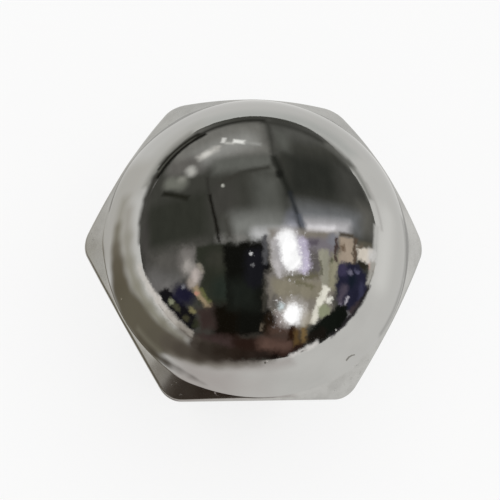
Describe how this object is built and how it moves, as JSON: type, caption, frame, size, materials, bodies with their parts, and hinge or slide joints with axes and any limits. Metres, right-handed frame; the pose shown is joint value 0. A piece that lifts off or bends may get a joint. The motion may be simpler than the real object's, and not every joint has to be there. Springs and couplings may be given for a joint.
{
  "type": "lug nut",
  "caption": "Closed-end wheel nut: a hexagon with rounded corners under a polished dome, with a blind threaded hole and a conical seat at the open end.",
  "frame": {"origin": "centre of the flat end face round the mouth of the stud hole, which is also the bottom centre of the bounding box", "axes": "+Z along the nut's axis from the open end to the crown of the dome; two flats face +Y and -Y, and two corners lie on +X and -X"},
  "size_m": [0.0214, 0.019, 0.035],
  "materials": {
    "chrome": "polished chrome plate, mirror bright, lightly rippled, with a few fine marks"
  },
  "bodies": {
    "root": {"lug_nut": "chrome"}
  },
  "joints": []
}
